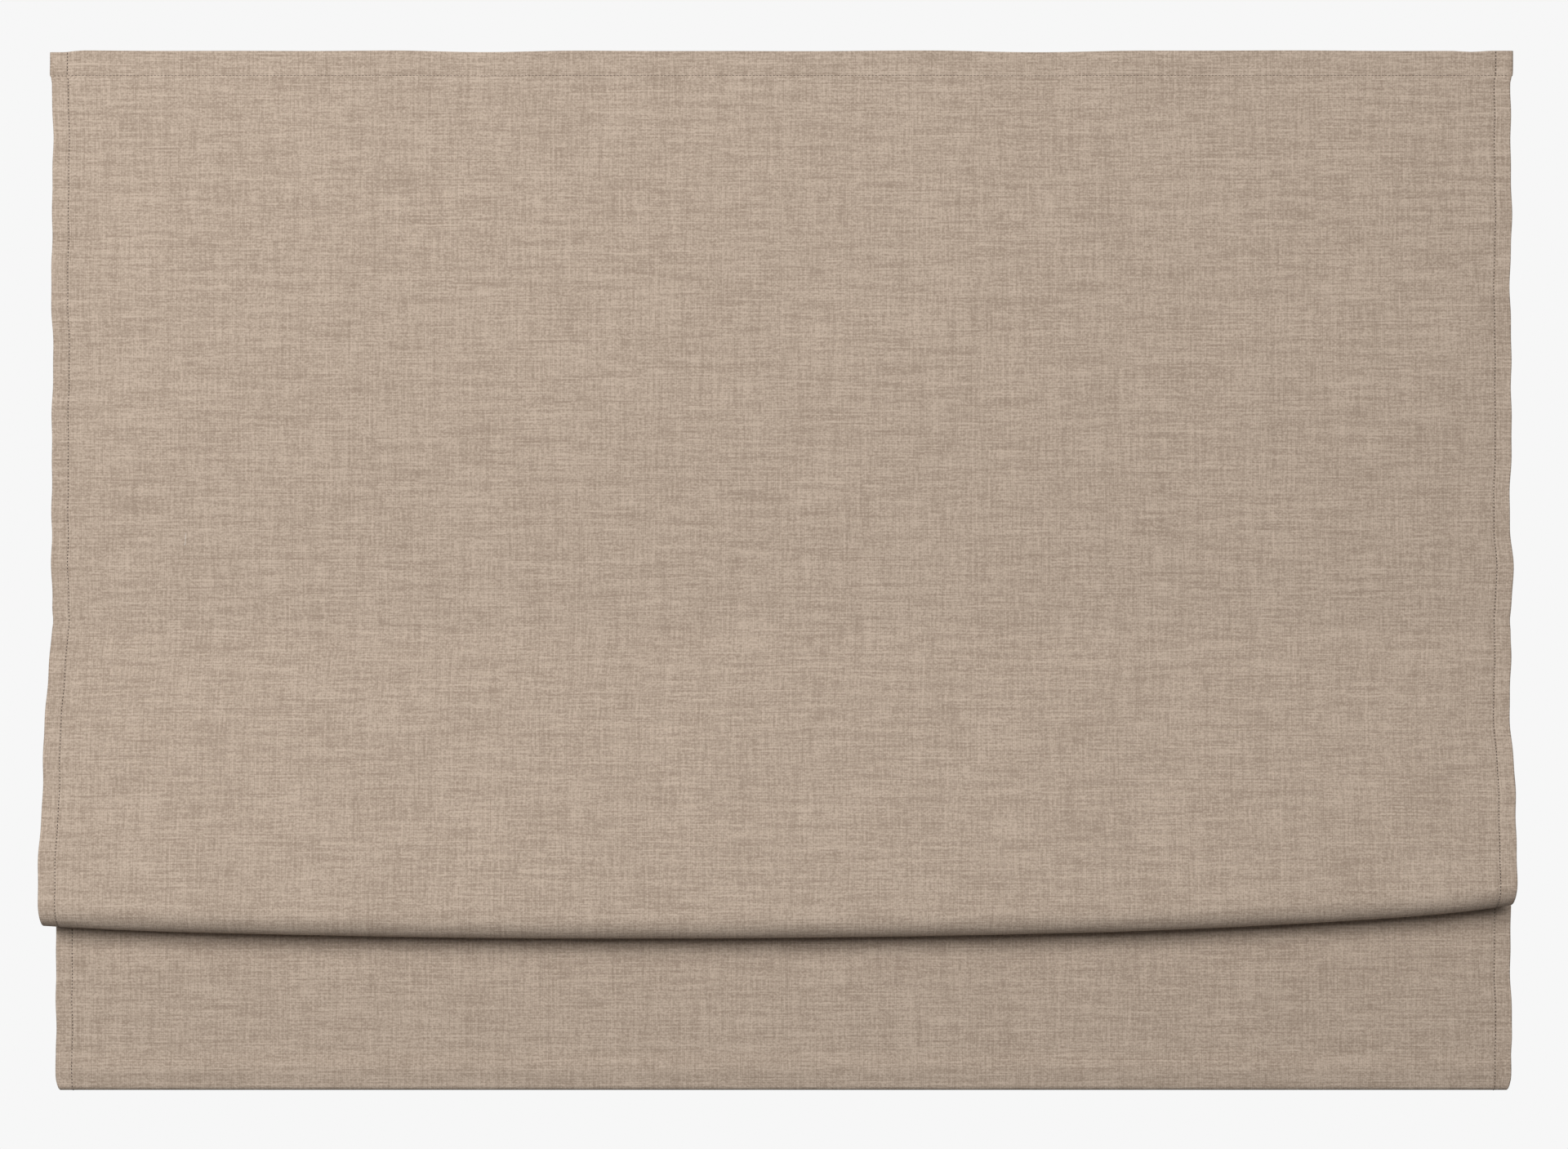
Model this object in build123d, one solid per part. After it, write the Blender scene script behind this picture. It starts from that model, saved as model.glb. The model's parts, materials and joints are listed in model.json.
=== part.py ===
from build123d import *
from math import cos, pi, radians, sin, sqrt
import os

# Roman blind, spring-lifted, shown part raised with its lowest fold open.
# Millimetres. X runs along the width, -Y faces the room, +Z is up.
# The origin is the middle of the brackets' four fixing holes, on their top face.

# ---- fabric -------------------------------------------------------------------
blind_width = 1200.0
fabric_thickness = 0.6
fabric_top = -1.0            # height of the panel's top edge
top_section = 467.0          # top edge to the middle of the upper rod
fold_section = 360.0         # upper rod to lower rod, along the cloth
bottom_section = 200.0       # lower rod to the bottom edge
side_hem_width = 13.0
hem_layers = 2               # turned layers behind the panel in a side hem
header_turn = 20.0           # cloth turned to the back along the top

# ---- open fold ----------------------------------------------------------------
fold_nose_radius = 17.0      # middle of the cloth
front_layer_lean = 9.9       # degrees, towards the room
back_layer_lean = 3.0        # degrees, away from the room
shoulder_radius = 30.0       # where the front layer leaves the upper rod
crease_radius = 1.2          # where the cloth turns over at the lower rod

# ---- headrail -----------------------------------------------------------------
rail_inset = 7.0             # cloth's edge to the end of the rail
rail_depth = 30.0
rail_height = 26.0
rail_wall = 1.2
rail_lip = 4.0
end_cap_thickness = 2.0
end_cap_plug = 8.0
end_cap_plug_wall = 1.6
tape_height = 16.0           # hook-and-loop tape
tape_thickness = 1.3         # each half
tape_below_rail_top = 0.5
hem_gap = 2.0                # hem to the end of a tape

# ---- brackets -----------------------------------------------------------------
bracket_inset = 200.0        # cloth's edge to a bracket's screw row
screw_row = 14.0             # between a bracket's two holes
screw_hole_radius = 2.25
plate_thickness = 1.5
rail_drop = 4.0              # top of the rail below the fixing plane
plate_before_hole = 7.0
plate_after_hole = 49.0
plate_front = 14.0
plate_back = 13.0
hook_play = 0.2
pivot_x = 23.0               # latch pivot from the screw row
pivot_y = 3.0
rivet_radius = 1.5
rivet_head_radius = 3.0
rivet_head = 0.8
latch_hub_radius = 4.0
latch_plate = 1.4
lever_length = 28.0
lever_width = 8.0
lever_angle = 45.0
cam_width = 9.0
cam_wall_gap = 0.4

# ---- lift ---------------------------------------------------------------------
cord_inset = 100.0           # cloth's edge to the middle of an outer spool
cord_radius = 0.6
cord_pitch = 1.4
spare_turns = 2.0            # turns that stay on a spool with the blind down
spool_core_radius = 7.0
spool_flange_rise = 2.5
spool_flange = 1.7
spool_winding = 37.0
spool_hub_radius = 4.5
shaft_across_flats = 6.0
hex_play = 0.1
shaft_overhang = 3.0
running_play = 0.05
cradle_length = 46.0
cradle_wall = 2.5
cradle_base = 1.5
cradle_play = 0.1
cord_slot = (30.0, 5.0)
knot_radius = 1.6
adjuster_radius = 5.0
adjuster_length = 12.0
adjuster_bore = 0.7

# ---- spring motor -------------------------------------------------------------
motor_start = 60.0
motor_length = 160.0
motor_bore_radius = 10.0
motor_plug = 8.0
driver_radius = 9.5
driver_inset = 8.0
spring_radius = 7.6          # middle of the wire
spring_wire = 1.4
spring_turns = 32
spring_end_play = 0.1
peg_radius = 1.0
anchor_bore = 4.2

# ---- rods ---------------------------------------------------------------------
rod_radius = 2.0
rod_hem_gap = 1.0            # hem to the end of a rod's tip
rod_tape_height = 15.0
rod_tape_gap = 1.0           # tape to tip
rod_tape_thickness = 0.4
rod_tunnel_play = 0.15
tip_wall = 0.8
tip_length = 10.0
tip_end_wall = 2.0
ring_radius = 4.5            # middle of the ring's wire
ring_wire_radius = 1.0

# ---- bottom bar ---------------------------------------------------------------
bar_height = 24.0
bar_depth = 8.0
bar_wall = 1.2
bar_hem_gap = 3.0            # hem to the bar's cap
bar_cap = 2.0
bar_plug = 10.0
pocket_play = 0.1
pocket_wrap = 50.0           # degrees the pocket follows the bar's top edge
pocket_seam = 4.0
seam_bite = 0.05             # how far a sewn layer sinks into the next one
corner_play = 0.2            # the header's thick corners to the rail's face

# ---- fits shared by several pieces ----------------------------------------------
touch_play = 0.05

# ---- derived sizes and positions --------------------------------------------------
half_width = blind_width / 2
rail_length = 2 * (half_width - rail_inset)
tape_length = 2 * (half_width - side_hem_width - hem_gap)
tip_radius = rod_radius + tip_wall
rod_length = 2 * (half_width - side_hem_width - rod_hem_gap - tip_end_wall)
rod_tape_length = rod_length - 2 * (tip_length - tip_end_wall + rod_tape_gap)
bar_length = 2 * (half_width - side_hem_width - bar_hem_gap - bar_cap)
outer_cord = half_width - cord_inset
cord_places = (-outer_cord, 0.0, outer_cord)
bracket_places = (bracket_inset - half_width, half_width - bracket_inset)
spool_flange_radius = spool_core_radius + spool_flange_rise
rail_top = -rail_drop
rail_bottom = rail_top - rail_height
rail_floor = rail_bottom + rail_wall
lip_underside = rail_top - rail_wall
rail_front = -rail_depth / 2
inner_half_depth = rail_depth / 2 - rail_wall
cloth_back = rail_front - 2 * tape_thickness - fabric_thickness
cloth_middle = cloth_back - fabric_thickness / 2
rod_y = cloth_back + tip_radius + touch_play
rod_tunnel_outer = rod_radius + rod_tunnel_play + rod_tape_thickness
cord_y = rod_y + rod_tunnel_outer + ring_radius + ring_wire_radius + touch_play
winding_radius = spool_core_radius + cord_radius + touch_play / 2
shaft_y = cord_y + winding_radius
shaft_z = rail_floor + cradle_base + spool_flange_radius + 3 * cradle_play
rod_top_z = fabric_top - top_section


def solid_box(x, y, z):
    """A box from its limits along each axis."""
    size = (x[1] - x[0], y[1] - y[0], z[1] - z[0])
    middle = ((x[0] + x[1]) / 2, (y[0] + y[1]) / 2, (z[0] + z[1]) / 2)
    return Pos(*middle) * Box(*size)


def round_x(radius, x, y, z):
    """A cylinder along X between two stations."""
    middle = (x[0] + x[1]) / 2
    return Pos(middle, y, z) * Rot(0, 90, 0) * Cylinder(radius, x[1] - x[0])


def round_z(radius, x, y, z):
    """A cylinder along Z between two heights."""
    middle = (z[0] + z[1]) / 2
    return Pos(x, y, middle) * Cylinder(radius, z[1] - z[0])


def along_x(face, x):
    """Extrude a section drawn as (Y, Z) between two stations."""
    return extrude(Plane.YZ.offset(x[0]) * face, x[1] - x[0])


def hex_bar(across_flats, x):
    outline = RegularPolygon(across_flats / sqrt(3), 6)
    return along_x(Pos(shaft_y, shaft_z) * outline, x)


# ---- cloth section ----------------------------------------------------------------
# The cloth is drawn as a path of ("line", length) and ("arc", radius, degrees) steps.
# A heading of 0 is straight down, 90 is towards the room and -90 is away from it.

def cloth_path(start, heading, steps, offset):
    """Edges of the path moved to the cloth's back by offset, and their end points."""
    y, z = start
    edges, ends = [], []
    for step in steps:
        a = radians(heading)
        back = Vector(cos(a), -sin(a))
        here = Vector(y, z) + back * offset
        ends = ends or [here]
        if step[0] == "line":
            y -= sin(a) * step[1]
            z -= cos(a) * step[1]
            there = Vector(y, z) + back * offset
            edges.append(Line(here, there))
        else:
            side = 1 if step[2] < 0 else -1
            centre = Vector(y, z) + back * (side * step[1])
            reach = step[1] - side * offset
            half, whole = a + radians(step[2] / 2), a + radians(step[2])
            middle = centre - Vector(cos(half), -sin(half)) * (side * reach)
            there = centre - Vector(cos(whole), -sin(whole)) * (side * reach)
            edges.append(ThreePointArc(here, middle, there))
            heading += step[2]
            centre_line = centre - Vector(cos(whole), -sin(whole)) * (side * step[1])
            y, z = centre_line.X, centre_line.Y
        ends = [ends[0], there]
    return edges, ends


def cloth_layer(start, heading, steps, near, far):
    """The section between two offsets of a cloth path."""
    front, front_ends = cloth_path(start, heading, steps, near)
    rear, rear_ends = cloth_path(start, heading, steps, far)
    closing = [Line(front_ends[0], rear_ends[0]), Line(front_ends[1], rear_ends[1])]
    return make_face(front + rear + closing)


lean, back_lean = radians(front_layer_lean), radians(back_layer_lean)
flat_at_rod = rod_tape_height / 2
turning_length = (
    shoulder_radius * lean
    + fold_nose_radius * (pi + lean - back_lean)
    + crease_radius * (pi - back_lean)
)
slack = fold_section - 2 * flat_at_rod - turning_length
turning_depth = (
    fold_nose_radius * (cos(lean) + cos(back_lean))
    + crease_radius * (1 + cos(back_lean))
    - shoulder_radius * (1 - cos(lean))
)
front_straight = (slack * sin(back_lean) + turning_depth) / (sin(lean) + sin(back_lean))
back_straight = slack - front_straight
fold_steps = [
    ("line", flat_at_rod),
    ("arc", shoulder_radius, front_layer_lean),
    ("line", front_straight),
    ("arc", fold_nose_radius, -(180 + front_layer_lean - back_layer_lean)),
    ("line", back_straight),
    ("arc", crease_radius, 180 - back_layer_lean),
    ("line", flat_at_rod),
]
fold_drop = (
    2 * flat_at_rod
    + shoulder_radius * sin(lean)
    + front_straight * cos(lean)
    + fold_nose_radius * (sin(lean) + sin(back_lean))
    - back_straight * cos(back_lean)
    + crease_radius * sin(back_lean)
)
rod_low_z = rod_top_z - fold_drop
raised_at_rest = fold_section - fold_drop
fabric_bottom = rod_low_z - bottom_section

pocket_radius = bar_depth / 2 + pocket_play + fabric_thickness / 2
pocket_low = fabric_bottom + pocket_radius + fabric_thickness / 2
bar_y = cloth_middle + pocket_radius
bar_z = pocket_low + bar_height / 2 - bar_depth / 2
bar_flat = bar_height - bar_depth
wrap = radians(pocket_wrap)
seam_radius = 1.5
seam_y = cloth_back + fabric_thickness / 2 - seam_bite
pocket_slant = (
    bar_y + pocket_radius * cos(wrap) - seam_radius * (1 - cos(wrap)) - seam_y
) / sin(wrap)
pocket_turns = [
    ("arc", pocket_radius, -180),
    ("line", bar_flat),
    ("arc", pocket_radius, -pocket_wrap),
]
pocket_steps = pocket_turns + [
    ("line", pocket_slant),
    ("arc", seam_radius, pocket_wrap),
    ("line", pocket_seam),
]


def fabric_panel():
    """The one folded sheet: panel, open fold, header turn, side hems and bar pocket."""
    half = fabric_thickness / 2
    top = (cloth_middle, fabric_top)
    whole_drop = [("line", top_section)] + fold_steps
    whole_drop += [("line", rod_low_z - pocket_low)]
    at_pocket = (cloth_middle, pocket_low)
    width = (-half_width, half_width)
    section = cloth_layer(top, 0, whole_drop, -half, half)
    section += cloth_layer(at_pocket, 0, pocket_steps, -half, half)
    panel = along_x(section, width)
    turned = (cloth_back - seam_bite, cloth_back + fabric_thickness)
    turned_height = (fabric_top - header_turn, fabric_top)
    panel += solid_box(width, turned, turned_height)
    hem = hem_layers * fabric_thickness
    hem_section = cloth_layer(top, 0, whole_drop, half - seam_bite, half + hem)
    hem_section += cloth_layer(at_pocket, 0, pocket_turns, half - seam_bite, half + hem)
    corner = (cloth_back, rail_front - corner_play)
    for edge in (-1, 1):
        x = sorted((edge * half_width, edge * (half_width - side_hem_width)))
        panel += along_x(hem_section, x)
        panel += solid_box(x, corner, turned_height)
    return panel


# ---- headrail ---------------------------------------------------------------------

def headrail():
    """Channel open at the top, with lips turned in and a slot for each cord."""
    half = rail_length / 2
    y = (-rail_depth / 2, rail_depth / 2)
    body = solid_box((-half, half), y, (rail_bottom, rail_top))
    inside = (-inner_half_depth, inner_half_depth)
    body -= solid_box((-half, half), inside, (rail_floor, lip_underside))
    mouth = (-rail_depth / 2 + rail_lip, rail_depth / 2 - rail_lip)
    body -= solid_box((-half, half), mouth, (lip_underside, rail_top))
    for x in cord_places:
        body -= cord_opening(x, (rail_bottom, rail_floor))
    return body


def cord_opening(x, z):
    """The slot a cord leaves by, long enough for the cord to walk along its spool."""
    slot = SlotOverall(*cord_slot)
    return extrude(Pos(x, cord_y, z[0]) * slot, z[1] - z[0])


def end_cap(side):
    inner = side * rail_length / 2
    outer = inner + side * end_cap_thickness
    y = (-rail_depth / 2, rail_depth / 2)
    cap = solid_box(sorted((inner, outer)), y, (rail_bottom, rail_top))
    x = sorted((inner, inner - side * end_cap_plug))
    plug_y = inner_half_depth - cradle_play
    low, high = rail_floor + cradle_play, lip_underside - cradle_play
    plug = solid_box(x, (-plug_y, plug_y), (low, high))
    wall = end_cap_plug_wall
    hollow = solid_box(x, (wall - plug_y, plug_y - wall), (low + wall, high - wall))
    return cap + (plug - hollow)


def grip_tape(layer):
    """One half of the hook-and-loop tape: layer 0 is on the rail, layer 1 on the cloth."""
    back = rail_front - layer * tape_thickness
    top = rail_top - tape_below_rail_top
    half = tape_length / 2
    return solid_box((-half, half), (back - tape_thickness, back), (top - tape_height, top))


# ---- brackets ---------------------------------------------------------------------

hook_top = lip_underside - hook_play
hook_bottom = hook_top - plate_thickness


def bracket(x0):
    """Top plate with its feet on the rail's lips and a fixed hook under the front lip."""
    x = (x0 - plate_before_hole, x0 + plate_after_hole)
    plate = solid_box(x, (-plate_front, plate_back), (-plate_thickness, 0))
    foot_z = (rail_top, -plate_thickness)
    mouth = -rail_depth / 2 + rail_lip
    web = (mouth + hook_play, mouth + hook_play + plate_thickness)
    plate += solid_box(x, (-plate_front, web[1]), foot_z)
    plate += solid_box(x, web, (hook_bottom, -plate_thickness))
    toe = (-inner_half_depth + cam_wall_gap, web[1])
    plate += solid_box(x, toe, (hook_bottom, hook_top))
    foot_y = (rail_depth / 2 - rail_lip - plate_thickness, plate_back)
    clear = lever_reach()
    pivot = x0 + pivot_x
    plate += solid_box((x[0], pivot - clear), foot_y, foot_z)
    plate += solid_box((pivot + clear, x[1]), foot_y, foot_z)
    for y in (-screw_row / 2, screw_row / 2):
        plate -= round_z(screw_hole_radius, x0, y, (rail_top, 0))
    plate -= round_z(rivet_radius, pivot, pivot_y, (-plate_thickness, 0))
    return plate


def lever_reach():
    """How far to each side of its pivot the swinging lever needs the space clear."""
    a = radians(lever_angle)
    at_feet = plate_back - pivot_y
    return at_feet / sin(a) * cos(a) + lever_width / 2 / sin(a) + 1.0


def latch(x0):
    """Lever above the rail and cam under its back lip, on one hub."""
    centre = (x0 + pivot_x, pivot_y)
    lever_top = -plate_thickness - hook_play
    hub = round_z(latch_hub_radius, *centre, (hook_bottom, lever_top))
    reach = lever_length - lever_width / 2
    lever = extrude(Pos(reach / 2, 0) * SlotCenterToCenter(reach, lever_width), latch_plate)
    lever = Pos(*centre, lever_top - latch_plate) * Rot(0, 0, lever_angle) * lever
    cam_reach = inner_half_depth - cam_wall_gap - pivot_y
    cam = Rectangle(cam_width, cam_reach, align=(Align.CENTER, Align.MIN))
    cam = extrude(cam & Circle(cam_reach), plate_thickness)
    cam = Pos(*centre, hook_bottom) * cam
    bore = round_z(rivet_radius + running_play, *centre, (hook_bottom, lever_top))
    return hub + lever + cam - bore


def rivet(x0):
    centre = (x0 + pivot_x, pivot_y)
    under = hook_bottom - running_play
    pin = round_z(rivet_radius, *centre, (under, 0))
    return pin + round_z(rivet_head_radius, *centre, (under - rivet_head, under))


# ---- lift -------------------------------------------------------------------------

def cradle(x0):
    """Open-topped bearing for a spool, standing on the rail's floor."""
    half = cradle_length / 2
    y = (cradle_play - inner_half_depth, inner_half_depth - cradle_play)
    top = lip_underside - cradle_play
    base = solid_box((x0 - half, x0 + half), y, (rail_floor, rail_floor + cradle_base))
    base -= cord_opening(x0, (rail_floor, rail_floor + cradle_base))
    bore = spool_hub_radius + running_play
    for side in (-1, 1):
        x = sorted((x0 + side * half, x0 + side * (half - cradle_wall)))
        wall = solid_box(x, y, (rail_floor, top))
        wall -= round_x(bore, x, shaft_y, shaft_z)
        wall -= solid_box(x, (shaft_y - bore, shaft_y + bore), (shaft_z, top))
        base += wall
    return base


def spool(x0):
    core = round_x(
        spool_core_radius,
        (x0 - spool_winding / 2, x0 + spool_winding / 2),
        shaft_y,
        shaft_z,
    )
    for side in (-1, 1):
        inner = x0 + side * spool_winding / 2
        outer = inner + side * spool_flange
        end = x0 + side * cradle_length / 2
        core += round_x(spool_flange_radius, sorted((inner, outer)), shaft_y, shaft_z)
        core += round_x(spool_hub_radius, sorted((outer, end)), shaft_y, shaft_z)
    ends = (x0 - cradle_length / 2, x0 + cradle_length / 2)
    return core - hex_bar(shaft_across_flats + hex_play, ends)


def lift_shaft():
    half = outer_cord + cradle_length / 2 + shaft_overhang
    return hex_bar(shaft_across_flats, (-half, half))


def lift_cord(x0):
    """Wound on its spool, down through the rail and both rings, knotted under its stop."""
    turn = 2 * pi * winding_radius
    turns = spare_turns + raised_at_rest / sqrt(turn**2 + cord_pitch**2)
    leaves = x0 + turns * cord_pitch / 2
    winding = Helix(cord_pitch, turns * cord_pitch, winding_radius)
    start = Plane(origin=winding @ 0, z_dir=winding % 0)
    coil = sweep(start * Circle(cord_radius), path=winding, is_frenet=True)
    on_spool = Plane(
        origin=(leaves, shaft_y, shaft_z), x_dir=(0, -1, 0), z_dir=(-1, 0, 0)
    )
    coil = on_spool.location * coil
    leave = Vector(leaves, shaft_y - winding_radius, shaft_z)
    fall = shaft_z - rail_bottom
    at_slot = leave + Vector(cord_pitch / turn * fall, 0, -fall)
    knot_z = rod_low_z - ring_wire_radius - touch_play - adjuster_length
    foot = Vector(at_slot.X, at_slot.Y, knot_z - 2 * knot_radius)
    route = Polyline(leave, at_slot, foot)
    begin = Plane(origin=leave, z_dir=at_slot - leave)
    hanging = sweep(begin * Circle(cord_radius), path=route, transition=Transition.RIGHT)
    knot = Pos(at_slot.X, at_slot.Y, knot_z - knot_radius - touch_play) * Sphere(knot_radius)
    return coil + hanging + knot


def cord_line(x0):
    """Where a cord hangs, along the width, with the blind as drawn."""
    turn = 2 * pi * winding_radius
    turns = spare_turns + raised_at_rest / sqrt(turn**2 + cord_pitch**2)
    return x0 + turns * cord_pitch / 2 + cord_pitch / turn * (shaft_z - rail_bottom)


def cord_ring(x0, z):
    return Pos(cord_line(x0), cord_y, z) * Torus(ring_radius, ring_wire_radius)


def cord_adjuster(x0):
    top = rod_low_z - ring_wire_radius - touch_play
    z = (top - adjuster_length, top)
    bead = round_z(adjuster_radius, cord_line(x0), cord_y, z)
    bead = chamfer(bead.edges().filter_by(GeomType.CIRCLE), 0.8)
    return bead - round_z(adjuster_bore, cord_line(x0), cord_y, z)


# ---- spring motor -----------------------------------------------------------------

motor_end = motor_start + motor_length
driver_x = (motor_end - driver_inset - motor_plug, motor_end - driver_inset)
anchor_x = (motor_start, motor_start + motor_plug)


def spring_housing():
    y = (cradle_play - inner_half_depth, inner_half_depth - cradle_play)
    z = (rail_floor, lip_underside - cradle_play)
    block = solid_box((motor_start, motor_end), y, z)
    return block - round_x(motor_bore_radius, (motor_start, motor_end), shaft_y, shaft_z)


def spring_peg(face, way):
    """Peg on a plug's face that the end of the coil bears on: way is 1 for a face at -X."""
    length = spring_end_play + 1.25 * spring_wire
    height = shaft_z + way * (peg_radius + touch_play)
    x = sorted((face, face - way * length))
    return round_x(peg_radius, x, shaft_y - spring_radius, height)


def spring_anchor():
    """Fixed plug at one end of the housing, clear of the shaft."""
    plug = round_x(motor_bore_radius - touch_play, anchor_x, shaft_y, shaft_z)
    plug += spring_peg(anchor_x[1], -1)
    return plug - round_x(anchor_bore, anchor_x, shaft_y, shaft_z)


def spring_driver():
    """Plug that turns with the shaft."""
    plug = round_x(driver_radius, driver_x, shaft_y, shaft_z)
    plug += spring_peg(driver_x[0], 1)
    return plug - hex_bar(shaft_across_flats + hex_play, driver_x)


def torsion_spring():
    """Coil that unwinds to raise the blind."""
    wire = spring_wire / 2
    gap = wire + spring_end_play
    first, last = anchor_x[1] + gap, driver_x[0] - gap
    pitch = (last - first) / spring_turns
    winding = Helix(pitch, last - first, spring_radius, lefthand=True)
    start = Plane(origin=winding @ 0, z_dir=winding % 0)
    coil = sweep(start * Circle(wire), path=winding, is_frenet=True)
    on_shaft = Plane(origin=(last, shaft_y, shaft_z), x_dir=(0, -1, 0), z_dir=(-1, 0, 0))
    return on_shaft.location * coil


# ---- rods -------------------------------------------------------------------------

def rod(z):
    return round_x(rod_radius, (-rod_length / 2, rod_length / 2), rod_y, z)


def rod_tape(z):
    """Flat tape sewn to the cloth, with a woven tunnel for the rod."""
    flat = Pos(cloth_back + rod_tape_thickness / 2, z) * Rectangle(
        rod_tape_thickness, rod_tape_height
    )
    outline = flat + Pos(rod_y, z) * Circle(rod_tunnel_outer)
    outline -= Pos(rod_y, z) * Circle(rod_radius + rod_tunnel_play)
    front = cloth_back - rod_tunnel_outer
    outline -= Pos((front + cloth_back) / 2, z) * Rectangle(cloth_back - front, rod_tape_height)
    return along_x(outline, (-rod_tape_length / 2, rod_tape_length / 2))


def rod_tip(side, z):
    end = side * (rod_length / 2 + tip_end_wall)
    x = sorted((end, end - side * tip_length))
    bore = sorted((side * rod_length / 2, end - side * tip_length))
    tip = round_x(tip_radius, x, rod_y, z)
    return tip - round_x(rod_radius + touch_play, bore, rod_y, z)


# ---- bottom bar -------------------------------------------------------------------

def bar_outline(inset):
    height, depth = bar_height - 2 * inset, bar_depth - 2 * inset
    return Pos(bar_y, bar_z) * Rot(0, 0, 90) * SlotOverall(height, depth)


def bottom_bar():
    x = (-bar_length / 2, bar_length / 2)
    return along_x(bar_outline(0) - bar_outline(bar_wall), x)


def bar_end(side):
    inner = side * bar_length / 2
    flange = along_x(bar_outline(0), sorted((inner, inner + side * bar_cap)))
    plug = along_x(bar_outline(bar_wall + touch_play), sorted((inner, inner - side * bar_plug)))
    return flange + plug


# ---- pieces -----------------------------------------------------------------------

left_hole, right_hole = bracket_places
left_cord, middle_cord, right_cord = cord_places

pieces = {
    "headrail": headrail(),
    "end_cap_left": end_cap(-1),
    "end_cap_right": end_cap(1),
    "hook_tape": grip_tape(0),
    "loop_tape": grip_tape(1),
    "bracket_left": bracket(left_hole),
    "bracket_right": bracket(right_hole),
    "latch_left": latch(left_hole),
    "latch_right": latch(right_hole),
    "bracket_rivets": Compound([rivet(left_hole), rivet(right_hole)]),
    "lift_shaft": lift_shaft(),
    "cradle_left": cradle(left_cord),
    "cradle_middle": cradle(middle_cord),
    "cradle_right": cradle(right_cord),
    "spool_left": spool(left_cord),
    "spool_middle": spool(middle_cord),
    "spool_right": spool(right_cord),
    "spring_housing": spring_housing(),
    "spring_anchor": spring_anchor(),
    "spring_driver": spring_driver(),
    "torsion_spring": torsion_spring(),
    "fabric_panel": fabric_panel(),
    "lift_cord_left": lift_cord(left_cord),
    "lift_cord_middle": lift_cord(middle_cord),
    "lift_cord_right": lift_cord(right_cord),
    "rod_upper": rod(rod_top_z),
    "rod_lower": rod(rod_low_z),
    "rod_tape_upper": rod_tape(rod_top_z),
    "rod_tape_lower": rod_tape(rod_low_z),
    "rod_tips_upper": Compound([rod_tip(side, rod_top_z) for side in (-1, 1)]),
    "rod_tips_lower": Compound([rod_tip(side, rod_low_z) for side in (-1, 1)]),
    "cord_rings_upper": Compound([cord_ring(x, rod_top_z) for x in cord_places]),
    "cord_rings_lower": Compound([cord_ring(x, rod_low_z) for x in cord_places]),
    "cord_adjuster_left": cord_adjuster(left_cord),
    "cord_adjuster_middle": cord_adjuster(middle_cord),
    "cord_adjuster_right": cord_adjuster(right_cord),
    "bottom_bar": bottom_bar(),
    "bottom_bar_cap_left": bar_end(-1),
    "bottom_bar_cap_right": bar_end(1),
}

os.makedirs("parts", exist_ok=True)
for name, piece in pieces.items():
    export_step(piece, f"parts/{name}.step")
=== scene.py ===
"""Looks of the roman blind: its cloth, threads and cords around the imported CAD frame."""

import json
import math

import bmesh
import bpy
import numpy as np
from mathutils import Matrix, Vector


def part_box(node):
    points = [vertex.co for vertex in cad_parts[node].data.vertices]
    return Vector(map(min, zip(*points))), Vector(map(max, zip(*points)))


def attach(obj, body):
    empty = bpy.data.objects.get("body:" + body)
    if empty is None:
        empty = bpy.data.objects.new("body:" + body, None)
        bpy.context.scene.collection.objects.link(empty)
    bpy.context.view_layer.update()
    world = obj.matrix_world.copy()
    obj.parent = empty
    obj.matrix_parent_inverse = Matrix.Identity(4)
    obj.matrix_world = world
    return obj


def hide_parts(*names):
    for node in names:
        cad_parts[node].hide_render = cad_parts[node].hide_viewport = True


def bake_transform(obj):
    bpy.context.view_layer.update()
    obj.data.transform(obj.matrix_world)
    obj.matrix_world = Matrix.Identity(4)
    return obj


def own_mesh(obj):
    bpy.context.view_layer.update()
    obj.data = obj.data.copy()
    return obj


MM = 0.001
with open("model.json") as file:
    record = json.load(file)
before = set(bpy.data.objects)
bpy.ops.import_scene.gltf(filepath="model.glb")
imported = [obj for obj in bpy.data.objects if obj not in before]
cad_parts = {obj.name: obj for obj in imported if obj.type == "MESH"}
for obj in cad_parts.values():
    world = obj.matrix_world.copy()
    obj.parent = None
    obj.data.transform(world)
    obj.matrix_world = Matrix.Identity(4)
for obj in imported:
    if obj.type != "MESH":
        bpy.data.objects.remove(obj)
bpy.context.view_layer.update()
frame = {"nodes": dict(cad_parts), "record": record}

# ---- sizes that the frame doesn't hold -----------------------------------------
CLOTH = 0.6 * MM              # thickness
TOP_SECTION = 467 * MM        # top edge to the upper rod, along the cloth
FOLD_SECTION = 360 * MM       # upper rod to the lower rod, along the cloth
HEM_WIDTH = 13 * MM
HEM_LAYERS = 2                # turned behind the panel
HEADER_TURN = 20 * MM
FLAT_AT_ROD = 7.5 * MM        # straight cloth on each side of a rod
NOSE_RADIUS = 17 * MM
FRONT_LEAN = 9.9              # degrees: the fold's front from upright
BACK_LEAN = 3.0               # degrees: its back from upright
SHOULDER_RADIUS = 30 * MM
CREASE_RADIUS = 1.2 * MM
BAR_HEIGHT = 24 * MM
BAR_DEPTH = 8 * MM
POCKET_PLAY = 0.1 * MM
POCKET_WRAP = 50.0            # degrees that the pocket's back turns in to its seam
POCKET_SEAM = 4 * MM
SEAM_RADIUS = 1.5 * MM
ABOVE_POCKET = 20 * MM        # last stretch down to the pocket's turn

# ---- places taken from the frame -----------------------------------------------
fabric_low, fabric_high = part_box("fabric_panel")
half_width = fabric_high.x
fabric_top = fabric_high.z
rod_top_z = sum(v.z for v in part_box("rod_upper")) / 2
rod_low_z = sum(v.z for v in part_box("rod_lower")) / 2
rail_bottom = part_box("headrail")[0].z
cloth_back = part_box("loop_tape")[0].y - CLOTH
cloth_middle = cloth_back - CLOTH / 2

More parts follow.
